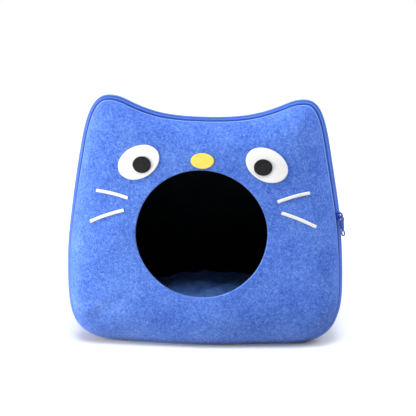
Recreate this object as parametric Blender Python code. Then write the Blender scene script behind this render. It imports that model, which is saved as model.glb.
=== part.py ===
"""A felt cat cave: a head-shaped felt pod with a round entrance, closed by a zip round its front.

Metres, +Z up. The front faces -Y. The origin is on the floor under the middle of the base.
Left and right are those of someone who looks at the front.
"""

import math

import bmesh
import bpy
import numpy as np
from mathutils import Matrix, Vector

# Driving dimensions
HEIGHT = 0.3787  # floor to ear tip, at the front
FELT = 0.0043  # thickness of the body felt
GAP = 0.00035  # between pieces that touch
SIDE_Y = -0.118  # where the front lip of the gusset starts to roll in, on the sides and crown
BACK_Y = 0.126  # where its rear lip starts to roll in
LIP_RADIUS = 0.006  # of the gusset's front edge
REAR_LIP_RADIUS = 0.014
REAR_TILT = math.radians(32)  # how far the rear edge has rolled in
BASE_BOW = 0.0135  # how far the lip of the base curves forward in the middle
BASE_BOW_HALF_WIDTH = 0.125
CORNER_BACK = 0.006  # how far back the lip lies at the lower corners
CORNER_HEIGHT = 0.080
ENTRANCE_AXES = (0.0972, 0.0952)
ENTRANCE_X = -0.0011
ENTRANCE_Z = 0.179
ENTRANCE_Y = -0.163  # the rim of the entrance, the front-most part
BACK_CENTRE_Z = 0.185
BACK_CENTRE_Y = 0.165
SHOULDER = 0.020  # depth of the steep rounding next to a panel's rim
REAR_SHOULDER = 0.018
REAR_SHOULDER_WIDTH = 0.042

# Half of the outline seen from the front, from the middle of the base to the middle of the crown, as
# smooth curves through these nodes. heading is the direction of travel in degrees from +X, back and
# ahead are the handle lengths, and steps is the count of straight pieces up to the next node. At each
# node the gusset's front edge has rolled in by tilt degrees.
OUTLINE_COLUMNS = ("x", "z", "heading", "back", "ahead", "steps", "tilt")
OUTLINE = {
    "base_middle": (0.0000, 0.0000, 0.0, 0.038, 0.038, 5, 38),
    "base_end": (0.1140, 0.0000, 0.0, 0.038, 0.077, 11, 38),
    "widest": (0.2103, 0.1000, 90.0, 0.0777, 0.075, 8, 27),
    "ear_foot": (0.1865, 0.3050, 100.2, 0.070, 0.045, 9, 37),
    "ear_tip": (0.1450, 0.3785, 180.0, 0.024, 0.018, 4, 36),
    "ear_slope": (0.1000, 0.3642, 201.1, 0.022, 0.028, 6, 32),
    "crown_middle": (0.0000, 0.3492, 180.0, 0.050, 0.050, 0, 29),
}

# The zip lies in a slot between the front panel and the gusset. The slot closes to a plain seam
# between these two heights at each lower corner.
SLOT = 0.0110
SLOT_CLOSED_Z = 0.018
SLOT_OPEN_Z = 0.040
TAPE = 0.0010  # thickness
TAPE_UNDER_FELT = 0.006
TAPE_CLEARANCE = 0.00056
COIL_WIDTH = 0.0060
COIL_HEIGHT = 0.0024
COIL_DEPTH = 0.0002  # of its top below the felt's outer surface
COIL_PLACE = 0.39  # across the slot, as a share of its width from the gusset's side
SLIDER_Z = 0.203

# How the soft body has settled: the rear is lower and narrower than the front, the crown sags and the
# sides swell between the two panels, and the head leans and tilts a little.
REAR_DROP = 0.086
REAR_NARROWING = 0.045
CROWN_SAG = 0.006
SIDE_SWELL = 0.012
LEAN_FOOT = -0.0013
LEAN_SIDES = 0.0015
LEAN_EARS = 0.0038
TILT = -0.026

# The fractions of the way from a panel's rim to its middle at which its rings lie
FRONT_RINGS = (0.0, 0.07, 0.15, 0.26, 0.42, 0.62, 0.82, 1.0)
REAR_RINGS = (0.0, 0.07, 0.15, 0.25, 0.40, 0.62, 0.84, 1.0)

# The sewn-on face, as flat sizes on the front panel
FACE_FELT = 0.0020
PUPIL_FELT = 0.0016
WHISKER_FELT = 0.0016
FACE_LIFT = 0.00052  # clear of what lies under it
EYE_X, EYE_Z = 0.0931, 0.2839
EYE_AXES = (0.0321, 0.0232)
EYE_TILT = 28.0
PUPIL_X, PUPIL_Z = 0.0879, 0.2808
PUPIL_AXES = (0.0134, 0.0121)
NOSE_Z = 0.2880
NOSE_AXES = (0.0169, 0.0112)
WHISKER_WIDTH = 0.0052
WHISKER_BOW = 0.0020
# From the inner to the outer end of each whisker
WHISKER_COLUMNS = ("inner_x", "inner_z", "outer_x", "outer_z")
WHISKERS = {
    "left_upper": (-0.1096, 0.2313, -0.1565, 0.2408),
    "left_lower": (-0.1157, 0.2132, -0.1663, 0.1946),
    "right_upper": (0.1094, 0.2303, 0.1557, 0.2438),
    "right_lower": (0.1153, 0.2142, 0.1660, 0.1935),
}

CUSHION_HALF_WIDTH = 0.173
CUSHION_HALF_DEPTH = 0.121
CUSHION_SEAM_Z = 0.026
CUSHION_CROWN = 0.050  # above its seam
CUSHION_STEPS = 52
CUSHION_RINGS = 11

FELT_BLUE = (0.075, 0.165, 0.600, 1)
ZIP_BLUE = (0.065, 0.180, 0.630, 1)
METAL_BLUE = (0.006, 0.040, 0.300, 1)
CUSHION_BLUE = (0.095, 0.225, 0.660, 1)
WHITE = (0.68, 0.69, 0.70, 1)
BLACK = (0.018, 0.018, 0.022, 1)
YELLOW = (0.80, 0.62, 0.095, 1)


# ---------------------------------------------------------------- scene, materials and meshes


def start_scene():
    """Empties the scene and returns the collection that the parts go in."""
    for thing in list(bpy.data.objects):
        bpy.data.objects.remove(thing)
    made = bpy.data.collections.new("felt_cat_cave")
    bpy.context.scene.collection.children.link(made)
    return made


PARTS = start_scene()


def finish_of(name, colour, roughness, metallic=0.0):
    made = bpy.data.materials.new(name)
    made.use_nodes = True
    shader = made.node_tree.nodes["Principled BSDF"]
    shader.inputs["Base Color"].default_value = colour
    shader.inputs["Roughness"].default_value = roughness
    shader.inputs["Metallic"].default_value = metallic
    return made


def add_part(name, mesh, finish):
    made = bpy.data.objects.new(name, mesh)
    PARTS.objects.link(made)
    mesh.materials.append(finish)
    mesh.shade_smooth()
    mesh.set_sharp_from_angle(angle=math.radians(40))
    return made


def loft(name, sections, closed):
    """A mesh through a row of like loops of points, joined end to end where closed, else capped."""
    rows, across = sections.shape[:2]
    shape = bmesh.new()
    points = [[shape.verts.new(point) for point in section] for section in sections]
    for row in range(rows if closed else rows - 1):
        here, following = points[row], points[(row + 1) % rows]
        for i in range(across):
            j = (i + 1) % across
            shape.faces.new((here[i], here[j], following[j], following[i]))
    if not closed:
        shape.faces.new(points[0])
        shape.faces.new(reversed(points[-1]))
    bmesh.ops.remove_doubles(shape, verts=shape.verts, dist=1e-6)
    bmesh.ops.recalc_face_normals(shape, faces=shape.faces)
    mesh = bpy.data.meshes.new(name)
    shape.to_mesh(mesh)
    shape.free()
    return mesh


def tube(name, path, radius, sides, closed=False, broad=1.0, normal=None):
    """A wire along a path that lies in one plane, and this many times as broad across that plane, or
    along the normal where one is given. radius is one number, or one for each point."""
    path = np.array(path, float)
    if closed:
        along = np.roll(path, -1, 0) - np.roll(path, 1, 0)
    else:
        along = np.gradient(path, axis=0)
    along /= np.linalg.norm(along, axis=1)[:, None]
    if normal is None:
        normal = np.cross(along[0], along[len(path) // 3])
        normal /= np.linalg.norm(normal)
    side = np.cross(along, normal)
    turn = np.arange(sides) * math.tau / sides
    ring = np.cos(turn)[None, :, None] * side[:, None, :]
    ring = ring + broad * np.sin(turn)[None, :, None] * normal
    return loft(name, path[:, None, :] + np.reshape(radius, (-1, 1, 1)) * ring, closed)


def joined(target, others):
    """Unites other objects with the target, by exact Booleans that stay on it."""
    for other in others:
        other.hide_render = True
        other.display_type = "WIRE"
        union = target.modifiers.new("join " + other.name, "BOOLEAN")
        union.operation = "UNION"
        union.object = other


# ---------------------------------------------------------------- the body's form


def outline_nodes():
    return [dict(zip(OUTLINE_COLUMNS, row)) for row in OUTLINE.values()]


def direction(degrees):
    return np.array([math.cos(math.radians(degrees)), math.sin(math.radians(degrees))])


def half_outline():
    """Rows of x, z, outward x, outward z and tilt, from the base's middle to the crown's."""
    rows = []
    nodes = outline_nodes()
    for here, ahead in zip(nodes, nodes[1:]):
        start = np.array([here["x"], here["z"]])
        end = np.array([ahead["x"], ahead["z"]])
        leave = start + here["ahead"] * direction(here["heading"])
        arrive = end - ahead["back"] * direction(ahead["heading"])
        last = ahead is nodes[-1]
        for step in range(here["steps"] + last):
            t = step / here["steps"]
            point = (1 - t) ** 3 * start + 3 * t * (1 - t) ** 2 * leave
            point = point + 3 * t**2 * (1 - t) * arrive + t**3 * end
            travel = (1 - t) ** 2 * (leave - start) + 2 * t * (1 - t) * (arrive - leave)
            travel = travel + t**2 * (end - arrive)
            travel /= np.linalg.norm(travel)
            blend = t * t * (3 - 2 * t)
            tilt = math.radians(here["tilt"] + blend * (ahead["tilt"] - here["tilt"]))
            rows.append((*point, travel[1], -travel[0], tilt))
    return np.array(rows)


def whole_outline():
    """The half outline, then its mirror image back down to the base, without the doubled ends."""
    right = half_outline()
    left = right[-2:0:-1].copy()
    left[:, 0] *= -1
    left[:, 2] *= -1
    return np.concatenate([right, left])


OUTLINE_ROWS = whole_outline()
SPOT = OUTLINE_ROWS[:, :2]
OUTWARD = OUTLINE_ROWS[:, 2:4]
TILTS = OUTLINE_ROWS[:, 4]


def smooth_step(value, low, high):
    t = np.clip((value - low) / (high - low), 0, 1)
    return t * t * (3 - 2 * t)


def lip_starts():
    """The y at which the gusset's front edge starts to roll in, for every outline row."""
    bow = np.clip(1 - (SPOT[:, 0] / BASE_BOW_HALF_WIDTH) ** 2, 0, 1) ** 1.5
    low = 1 - smooth_step(SPOT[:, 1], 0, CORNER_HEIGHT)
    return SIDE_Y + low * (CORNER_BACK - BASE_BOW * bow)


def slot_widths():
    """The plain seam's gap along the base and the zip's slot above the lower corners."""
    return GAP + (SLOT - GAP) * smooth_step(SPOT[:, 1], SLOT_CLOSED_Z, SLOT_OPEN_Z)


LIP_START = lip_starts()
EDGE_Y = LIP_START - LIP_RADIUS * np.sin(TILTS)
SLOTS = slot_widths()
COIL_LINE = COIL_PLACE * SLOTS


def place(out, back):
    """Points at these distances outward from the outline and at these y, for every outline row."""
    ground = SPOT + np.reshape(out, (-1, 1)) * OUTWARD
    back = np.broadcast_to(back, len(SPOT))
    return np.column_stack([ground[:, 0], back, ground[:, 1]])


def front_edge(across=0.0, depth=0.0):
    """Points beside the front edge of the gusset: across is towards the front panel, over the slot,
    and depth is inward from the outer surface."""
    out = -LIP_RADIUS * (1 - np.cos(TILTS)) - across * np.sin(TILTS) - depth * np.cos(TILTS)
    back = EDGE_Y - across * np.cos(TILTS) + depth * np.sin(TILTS)
    return place(out, back)


def front_lip(share, depth):
    """Points on the gusset's front lip: share 1 is its edge and 0 is where the lip starts."""
    turn = TILTS * share
    radius = LIP_RADIUS - depth
    return place(radius * np.cos(turn) - LIP_RADIUS, LIP_START - radius * np.sin(turn))


def rear_lip(share, depth):
    turn = np.full(len(SPOT), REAR_TILT * share)
    radius = REAR_LIP_RADIUS - depth
    return place(radius * np.cos(turn) - REAR_LIP_RADIUS, BACK_Y + radius * np.sin(turn))


def settle(points):
    """Bends a straight-sided point set into the soft body's settled form. The floor stays flat."""
    x, y, z = np.moveaxis(np.array(points, float), -1, 0)
    rise = z / HEIGHT
    rearward = np.clip((y - SIDE_Y) / (BACK_Y - SIDE_Y), 0, 1.2)
    middle = np.sin(math.pi * np.clip(rearward, 0, 1))
    x = x * (1 - REAR_NARROWING * rearward + SIDE_SWELL * middle)
    z = z * (1 - REAR_DROP * rearward) - CROWN_SAG * middle * rise**3
    lean = LEAN_FOOT * (1 - smooth_step(z, 0.03, 0.08)) + LEAN_SIDES * smooth_step(z, 0.14, 0.22)
    lean = lean + LEAN_EARS * np.clip(rise, 0, 1.1) ** 8
    z = z + TILT * x * rise
    return np.stack([x + lean, y, z], axis=-1)


class Panel:
    """A domed panel over the outline. Its surface depends on the distance to its rim, for the steep
    shoulder, and on the way from the rim to the middle, for the gentle dome."""

    def __init__(self, rim, centre, opening, middle_y, shoulder, shoulder_widths, power):
        self.rim = rim
        self.centre = np.array(centre)
        self.opening = opening
        self.middle_y = middle_y
        self.shoulder = shoulder
        self.power = power
        flat = rim[:, [0, 2]] - self.centre
        turn = np.arctan2(flat[:, 1], flat[:, 0])
        order = np.argsort(turn)
        self.turns = turn[order]
        self.columns = {
            "reach": np.hypot(flat[:, 0], flat[:, 1])[order],
            "rim_y": rim[:, 1][order],
            "width": np.broadcast_to(shoulder_widths, len(rim))[order],
        }

    def opening_reach(self, turn):
        across, up = np.maximum(self.opening, 1e-9)
        return 1 / np.hypot(np.cos(turn) / across, np.sin(turn) / up)

    def along_rim(self, column, turn):
        return np.interp(turn, self.turns, self.columns[column], period=math.tau)

    def distance_to_rim(self, x, z):
        start = self.rim[:, [0, 2]]
        side = np.roll(start, -1, 0) - start
        offset = np.stack([x, z], axis=-1)[..., None, :] - start
        share = np.clip((offset * side).sum(-1) / (side**2).sum(-1), 0, 1)
        return np.linalg.norm(offset - share[..., None] * side, axis=-1).min(-1)

    def y_at(self, x, z):
        x, z = np.asarray(x, float), np.asarray(z, float)
        turn = np.arctan2(z - self.centre[1], x - self.centre[0])
        reach = self.along_rim("reach", turn)
        rim_y = self.along_rim("rim_y", turn)
        width = self.along_rim("width", turn)
        radius = np.hypot(x - self.centre[0], z - self.centre[1])
        inward = (reach - radius) / (reach - self.opening_reach(turn))
        steep = 1 - (1 - np.clip(self.distance_to_rim(x, z) / width, 0, 1)) ** 3
        dome = self.middle_y - rim_y - self.shoulder
        return rim_y + self.shoulder * steep + dome * (1 - (1 - np.clip(inward, 0, 1)) ** self.power)

    def outer_points(self, rings):
        """Rows along the rim by rings from the rim to the middle."""
        flat = self.rim[:, [0, 2]] - self.centre
        reach = np.linalg.norm(flat, axis=1)
        unit = flat / reach[:, None]
        inner = self.opening_reach(np.arctan2(flat[:, 1], flat[:, 0]))
        radius = reach[:, None] + np.array(rings) * (inner - reach)[:, None]
        x = unit[:, None, 0] * radius + self.centre[0]
        z = unit[:, None, 1] * radius + self.centre[1]
        points = np.stack([x, self.y_at(x, z), z], axis=-1)
        points[:, 0, 1] = self.rim[:, 1]
        return points


def grid_normals(points):
    """Unit normals of a grid that closes on itself along its first direction."""
    around = np.roll(points, -1, 0) - np.roll(points, 1, 0)
    inward = np.gradient(points, axis=1)
    normal = np.cross(inward, around)
    length = np.linalg.norm(normal, axis=-1, keepdims=True)
    return normal / np.maximum(length, 1e-12)


def front_panel_form():
    rim = front_edge(across=SLOTS)
    reach = np.hypot(rim[:, 0] - ENTRANCE_X, rim[:, 2] - ENTRANCE_Z) - ENTRANCE_AXES[0]
    dome = ENTRANCE_Y - rim[:, 1] + SHOULDER
    widths = 3 * SHOULDER / (1 / np.tan(TILTS) - 2 * np.abs(dome) / reach)
    centre = (ENTRANCE_X, ENTRANCE_Z)
    return Panel(rim, centre, ENTRANCE_AXES, ENTRANCE_Y, -SHOULDER, widths, 2.0)


FRONT = front_panel_form()


def front_panel_sides():
    """The outer and inner points of the front panel, its rim cut square to the seam."""
    outer = FRONT.outer_points(FRONT_RINGS)
    normal = grid_normals(outer)
    normal *= -np.sign(normal[:, -1:, 1:2])
    inner = outer - FELT * normal
    inner[:, 0] = front_edge(across=SLOTS, depth=FELT)
    return outer, inner


# ---------------------------------------------------------------- felt pieces


def front_panel():
    outer, inner = front_panel_sides()
    sections = np.concatenate([outer, inner[:, ::-1]], axis=1)
    mesh = loft("front_panel", settle(sections), closed=True)
    add_part("front_panel", mesh, finish_of("front felt", FELT_BLUE, 0.95))


def gusset():
    between = np.linspace(SIDE_Y, BACK_Y, 6)[1:-1]

    def line(depth):
        front = [front_lip(share, depth) for share in (1.0, 0.5, 0.0)]
        middle = [place(np.full(len(SPOT), -depth), y) for y in between]
        rear = [rear_lip(share, depth) for share in (0.0, 0.5, 1.0)]
        return np.stack(front + middle + rear, axis=1)

    sections = np.concatenate([line(0.0), line(FELT)[:, ::-1]], axis=1)
    mesh = loft("gusset", settle(sections), closed=True)
    add_part("gusset", mesh, finish_of("gusset felt", FELT_BLUE, 0.95))


def back_panel():
    out = -REAR_LIP_RADIUS * (1 - math.cos(REAR_TILT)) - GAP * math.sin(REAR_TILT)
    back = BACK_Y + REAR_LIP_RADIUS * math.sin(REAR_TILT) + GAP * math.cos(REAR_TILT)
    rim = place(np.full(len(SPOT), out), back)
    centre, closed = (0, BACK_CENTRE_Z), (0, 0)
    form = Panel(rim, centre, closed, BACK_CENTRE_Y, REAR_SHOULDER, REAR_SHOULDER_WIDTH, 2.6)
    outer = form.outer_points(REAR_RINGS)
    normal = grid_normals(outer)
    normal *= np.sign(normal[:, 3:4, 1:2])
    normal[:, -1] = (0, 1, 0)
    inner = outer - FELT * normal
    inner_out = out - FELT * math.cos(REAR_TILT)
    inner[:, 0] = place(np.full(len(SPOT), inner_out), back - FELT * math.sin(REAR_TILT))
    sections = np.concatenate([outer, inner[:, ::-1]], axis=1)
    mesh = loft("back_panel", settle(sections), closed=True)
    add_part("back_panel", mesh, finish_of("back felt", FELT_BLUE, 0.95))


# ---------------------------------------------------------------- zip


def slot_rows(least):
    """The outline rows, in order along the zip, where the slot is at least this wide."""
    return np.flatnonzero(SLOTS >= least)


def zip_tapes():
    """Two strips that meet under the coil and run in under the felt edges on both sides of the slot."""
    rows = slot_rows(3 * GAP)
    near, far = FELT + TAPE_CLEARANCE, FELT + TAPE_CLEARANCE + TAPE
    rise = (near - COIL_DEPTH - COIL_HEIGHT - GAP) * SLOTS / SLOT
    outer, inner = front_panel_sides()
    inward = inner[:, 1] - inner[:, 0]
    reach = TAPE_UNDER_FELT / np.linalg.norm(inward, axis=1, keepdims=True)
    under = (outer[:, 1] - inner[:, 1]) / FELT
    edge = inner[:, 0] + reach * inward
    front = [
        front_edge(COIL_LINE + GAP, near - rise),
        front_edge(SLOTS, near),
        edge - TAPE_CLEARANCE * under,
        edge - (TAPE_CLEARANCE + TAPE) * under,
        front_edge(SLOTS, far),
        front_edge(COIL_LINE + GAP, far - rise),
    ]
    past_lip = LIP_START + TAPE_UNDER_FELT * 0.7
    rear = [front_edge(COIL_LINE - GAP, near - rise)]
    rear += [front_lip(share, near) for share in (1.0, 0.0)]
    rear += [place(np.full(len(SPOT), -near), past_lip), place(np.full(len(SPOT), -far), past_lip)]
    rear += [front_lip(share, far) for share in (0.0, 1.0)]
    rear += [front_edge(COIL_LINE - GAP, far - rise)]
    for name, lines in (("zip_tape_front", front), ("zip_tape_rear", rear)):
        sections = np.stack(lines, axis=1)[rows]
        mesh = loft(name, settle(sections), closed=False)
        add_part(name, mesh, finish_of(name, ZIP_BLUE, 0.7))


def zip_coil():
    """A low six-sided bar for the closed coil, down to where the felt edges close in on it."""
    rows = slot_rows((COIL_WIDTH / 2 + 2 * GAP) / COIL_PLACE)
    half = COIL_WIDTH / 2
    top, bottom = COIL_DEPTH, COIL_DEPTH + COIL_HEIGHT
    corners = (
        (half, (top + bottom) / 2),
        (half * 0.62, bottom),
        (-half * 0.62, bottom),
        (-half, (top + bottom) / 2),
        (-half * 0.62, top),
        (half * 0.62, top),
    )
    lines = [front_edge(COIL_LINE + across, depth) for across, depth in corners]
    mesh = loft("zip_coil", settle(np.stack(lines, axis=1)[rows]), closed=False)
    add_part("zip_coil", mesh, finish_of("zip coil", ZIP_BLUE, 0.45))


def slider_frame():
    """The matrix from the slider's own axes: x across the zip towards the rear, y up along it, z out."""
    right = np.arange(len(half_outline()))
    surface = settle(front_edge(COIL_LINE))
    heights = surface[right, 2]
    rear = settle(front_edge(COIL_LINE - 0.001))
    at = np.array([np.interp(SLIDER_Z, heights, surface[right, axis]) for axis in range(3)])
    to_rear = np.array([np.interp(SLIDER_Z, heights, (rear - surface)[right, i]) for i in range(3)])
    above = np.array([np.interp(SLIDER_Z + 0.01, heights, surface[right, i]) for i in range(3)])
    across = Vector(to_rear).normalized()
    up = Vector(above - at)
    out = across.cross(up).normalized()
    up = out.cross(across)
    turn = Matrix((across, up, out)).transposed().to_4x4()
    return Matrix.Translation(at) @ turn


SLIDER_LENGTH = 0.0116
SLIDER_WIDTH = 0.0077
SLIDER_FOOT = -0.0026  # its underside, measured out from the felt's surface
SLIDER_TOP = 0.0018
SLIDER_PLATE = 0.0016
BRIDGE_FOOT = SLIDER_TOP - 0.0004
BRIDGE_REACH = 0.0040  # half its length
BRIDGE_HEIGHT = 0.0058
BRIDGE_WIRE = 0.0014
EYE_WIRE = 0.0010
EYE_RADIUS = 0.0031
EYE_STAND_OFF = 0.0003  # of the ring's centre, outward from the bridge wire's
# The pull's stem as distances up from the slider's middle and out from the felt, and its half thickness
STEM = (
    (-0.0066, 0.0066, 0.0013),
    (-0.0090, 0.0054, 0.0014),
    (-0.0150, 0.0050, 0.0014),
    (-0.0190, 0.0049, 0.0013),
    (-0.0212, 0.0051, 0.0011),
)
STEM_BROADENING = 2.4  # its width over its thickness
STEM_TURN = math.radians(35)  # how far it hangs turned from the zip's face
LOOP_TOP, LOOP_BOTTOM = -0.0210, -0.0306
LOOP_HALF_WIDTH = 0.0028
LOOP_OUT = 0.0054
LOOP_WIRE = 0.0011


def box(name, low, high):
    shape = bmesh.new()
    bmesh.ops.create_cube(shape, size=1)
    low, high = Vector(low), Vector(high)
    bmesh.ops.scale(shape, vec=high - low, verts=shape.verts)
    bmesh.ops.translate(shape, vec=(low + high) / 2, verts=shape.verts)
    mesh = bpy.data.meshes.new(name)
    shape.to_mesh(mesh)
    shape.free()
    return mesh


def zip_slider(frame, finish):
    """A plate over the coil with two flanges beside it and a wire bridge on top."""
    half, length = SLIDER_WIDTH / 2, SLIDER_LENGTH / 2
    body = box("slider", (-half, -length, SLIDER_FOOT), (half, length, SLIDER_TOP))
    slider = add_part("zip_slider", body, finish)
    channel_half = COIL_WIDTH / 2 + 1.4 * GAP
    low, high = (-channel_half, -0.01, -0.01), (channel_half, 0.01, SLIDER_TOP - SLIDER_PLATE)
    channel = add_part("slider_channel", box("channel", low, high), finish)
    channel.hide_render = True
    channel.display_type = "WIRE"
    cut = slider.modifiers.new("channel", "BOOLEAN")
    cut.operation = "DIFFERENCE"
    cut.object = channel
    turns = np.linspace(0, math.pi, 9)
    arch = [
        (0, BRIDGE_REACH * math.cos(t), BRIDGE_FOOT + BRIDGE_HEIGHT * math.sin(t)) for t in turns
    ]
    bridge = add_part("slider_bridge", tube("bridge", arch, BRIDGE_WIRE, 6), finish)
    joined(slider, [bridge])
    for piece in (slider, channel, bridge):
        piece.matrix_world = frame


def zip_pull(frame, finish):
    """A wire ring round the bridge's lower shoulder, a flat stem and a teardrop loop."""
    shoulder = math.radians(135)
    outward = np.array([0, math.cos(shoulder), math.sin(shoulder)])
    bridge = np.array([0, BRIDGE_REACH, BRIDGE_HEIGHT]) * outward + (0, 0, BRIDGE_FOOT)
    centre = bridge + EYE_STAND_OFF * outward
    turns = np.arange(14) * math.tau / 14
    sideways = np.array([1, 0, 0])
    turned = np.array([math.cos(STEM_TURN), 0, math.sin(STEM_TURN)])
    ring = [centre + EYE_RADIUS * (math.cos(t) * outward + math.sin(t) * sideways) for t in turns]
    pull = add_part("zip_pull", tube("eye", ring, EYE_WIRE, 6, closed=True), finish)
    top = centre + EYE_RADIUS * outward
    stem = [tuple(top)] + [(0, up, out) for up, out, _ in STEM]
    thick = [EYE_WIRE] + [half for _, _, half in STEM]
    stem_mesh = tube("stem", stem, thick, 8, broad=STEM_BROADENING, normal=turned)
    stem_part = add_part("pull_stem", stem_mesh, finish)
    loop = []
    for t in turns:
        up = LOOP_TOP + (LOOP_BOTTOM - LOOP_TOP) * (1 - math.cos(t)) / 2
        loop.append((0, up, LOOP_OUT + LOOP_HALF_WIDTH * math.sin(t) * abs(math.sin(t / 2)) ** 0.8))
    loop_part = add_part("pull_loop", tube("loop", loop, LOOP_WIRE, 6, closed=True), finish)
    joined(pull, [stem_part, loop_part])
    for piece in (pull, stem_part, loop_part):
        piece.matrix_world = frame


# ---------------------------------------------------------------- face


def on_front(x, z, lift):
    """Points over the front panel at this height above its surface."""
    step = 0.0005
    x, z = np.asarray(x, float), np.asarray(z, float)
    y = FRONT.y_at(x, z)
    across = (FRONT.y_at(x + step, z) - FRONT.y_at(x - step, z)) / (2 * step)
    up = (FRONT.y_at(x, z + step) - FRONT.y_at(x, z - step)) / (2 * step)
    normal = np.stack([across, -np.ones_like(across), up], axis=-1)
    normal /= np.linalg.norm(normal, axis=-1, keepdims=True)
    return np.stack([x, y, z], axis=-1) + lift * normal


def oval(name, centre, axes, tilt, lift, thickness, finish, steps=24):
    """A flat oval of felt that follows the panel."""
    turn = np.arange(steps) * math.tau / steps
    lean = math.radians(tilt)
    sections = []
    profile = ((0.0, 1.0), (0.5, 1.0), (0.985, 1.0), (1.0, 0.75), (1.0, 0.0), (0.5, 0.0), (0.0, 0.0))
    for size, top in profile:
        along, over = axes[0] * size * np.cos(turn), axes[1] * size * np.sin(turn)
        x = centre[0] + along * math.cos(lean) - over * math.sin(lean)
        z = centre[1] + along * math.sin(lean) + over * math.cos(lean)
        sections.append(on_front(x, z, lift + thickness * top))
    mesh = loft(name, settle(np.stack(sections, axis=1)), closed=True)
    add_part(name, mesh, finish)


def face():
    white = finish_of("white felt", WHITE, 0.95)
    black = finish_of("black felt", BLACK, 0.9)
    yellow = finish_of("yellow felt", YELLOW, 0.95)
    on_eye = FACE_LIFT + FACE_FELT + GAP
    for side, name in ((-1, "left"), (1, "right")):
        eye, pupil = (side * EYE_X, EYE_Z), (side * PUPIL_X, PUPIL_Z)
        lean = -side * EYE_TILT
        oval("eye_white_" + name, eye, EYE_AXES, lean, FACE_LIFT, FACE_FELT, white, 28)
        oval("pupil_" + name, pupil, PUPIL_AXES, 0.0, on_eye, PUPIL_FELT, black, 20)
    oval("nose", (0.0, NOSE_Z), NOSE_AXES, 0.0, FACE_LIFT, FACE_FELT, yellow, 24)
    for place_name, row in WHISKERS.items():
        whisker("whisker_" + place_name, dict(zip(WHISKER_COLUMNS, row)), white)


def whisker(name, ends, finish, steps=7):
    """A narrow strip of felt, bowed a little upward, that follows the panel."""
    inner = np.array([ends["inner_x"], ends["inner_z"]])
    outer = np.array([ends["outer_x"], ends["outer_z"]])
    length = np.linalg.norm(outer - inner)
    along = (outer - inner) / length
    over = np.array([-along[1], along[0]]) * np.sign(along[0])
    share = np.linspace(0, 1, steps)
    bow = WHISKER_BOW * 4 * share * (1 - share)
    middle = inner + share[:, None] * length * along + bow[:, None] * over
    half = WHISKER_WIDTH / 2 * over
    edges = (middle + half, middle - half)
    lines = [on_front(edges[i][:, 0], edges[i][:, 1], FACE_LIFT + h) for i, h in
             ((0, 0.0), (0, WHISKER_FELT), (1, WHISKER_FELT), (1, 0.0))]
    mesh = loft(name, settle(np.stack(lines, axis=1)), closed=False)
    add_part(name, mesh, finish)


# ---------------------------------------------------------------- cushion


def cushion_edge(turn):
    """The half size of the cushion in each direction: a rounded rectangle with drawn-in sides."""
    power = 3.4
    x, y = np.abs(np.cos(turn)), np.abs(np.sin(turn))
    reach = (x**power + y**power) ** (-1 / power)
    drawn = 1 - 0.035 * (np.abs(np.cos(2 * turn)) ** 3)
    return reach * drawn


def cushion_floor(x):
    """How low the cushion may lie on the gusset, which rises towards its lower corners."""
    return FELT + GAP + 2.6 * np.clip(np.abs(x) - 0.110, 0, None) ** 2


def cushion_top(x, y):
    """The crown's uneven height as a share: two near lumps, a roll that runs aslant in front of them, a
    trough across the middle, a lower rear half with a lump of its own, and a lower left end."""
    near = 0.175 * np.exp(-(((x + 0.025) / 0.046) ** 2) - ((y + 0.044) / 0.021) ** 2)
    near_right = 0.14 * np.exp(-(((x - 0.056) / 0.032) ** 2) - ((y + 0.042) / 0.020) ** 2)
    off_roll = y + 0.088 - 0.36 * (x + 0.030)
    roll = 0.19 * np.exp(-((off_roll / 0.012) ** 2) - ((x + 0.004) / 0.060) ** 4)
    trough = -0.15 * np.exp(-(((y + 0.006 - 0.06 * x) / 0.022) ** 2))
    rear = 0.06 * np.exp(-(((x - 0.005) / 0.050) ** 2) - ((y - 0.050) / 0.035) ** 2)
    lower = 0.06 * smooth_step(y, -0.010, 0.030) + 0.14 * smooth_step(-x, 0.030, 0.100)
    return near + near_right + roll + trough + rear - lower


def cushion():
    turn = np.arange(CUSHION_STEPS) * math.tau / CUSHION_STEPS
    floor = FELT + GAP
    rings = np.sin(np.linspace(0, math.pi / 2, CUSHION_RINGS + 1))
    lines = []
    for size in rings:
        reach = size * cushion_edge(turn)
        x, y = CUSHION_HALF_WIDTH * reach * np.cos(turn), CUSHION_HALF_DEPTH * reach * np.sin(turn)
        crown = (1 - size**2.6) ** 0.62
        lumps = cushion_top(x, y) * (1 - size**4)
        lines.append(np.stack([x, y, CUSHION_SEAM_Z + CUSHION_CROWN * (crown + lumps)], axis=-1))
    for size in rings[-2::-1]:
        reach = size * cushion_edge(turn)
        x, y = CUSHION_HALF_WIDTH * reach * np.cos(turn), CUSHION_HALF_DEPTH * reach * np.sin(turn)
        drop = (CUSHION_SEAM_Z - floor) * min((1 - size**6) ** 0.7 * 1.35, 1)
        lines.append(np.stack([x, y, np.maximum(CUSHION_SEAM_Z - drop, cushion_floor(x))], axis=-1))
    sections = np.stack(lines, axis=1)
    mesh = loft("cushion", sections, closed=True)
    add_part("cushion", mesh, finish_of("cushion cloth", CUSHION_BLUE, 0.9))


# ---------------------------------------------------------------- whole


def main():
    front_panel()
    gusset()
    back_panel()
    zip_tapes()
    zip_coil()
    frame = slider_frame()
    metal = finish_of("painted zip metal", METAL_BLUE, 0.35)
    zip_slider(frame, metal)
    zip_pull(frame, metal)
    face()
    cushion()


main()
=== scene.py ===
"""The looks of a felt cat cave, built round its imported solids: mottled felt, a zip with its coil, tapes
and slider, a sewn-on face and a stuffed cushion. Metres, +Z up, the front faces -Y."""

import math

import bmesh
import bpy
import numpy as np
from mathutils import Matrix, Vector


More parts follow.
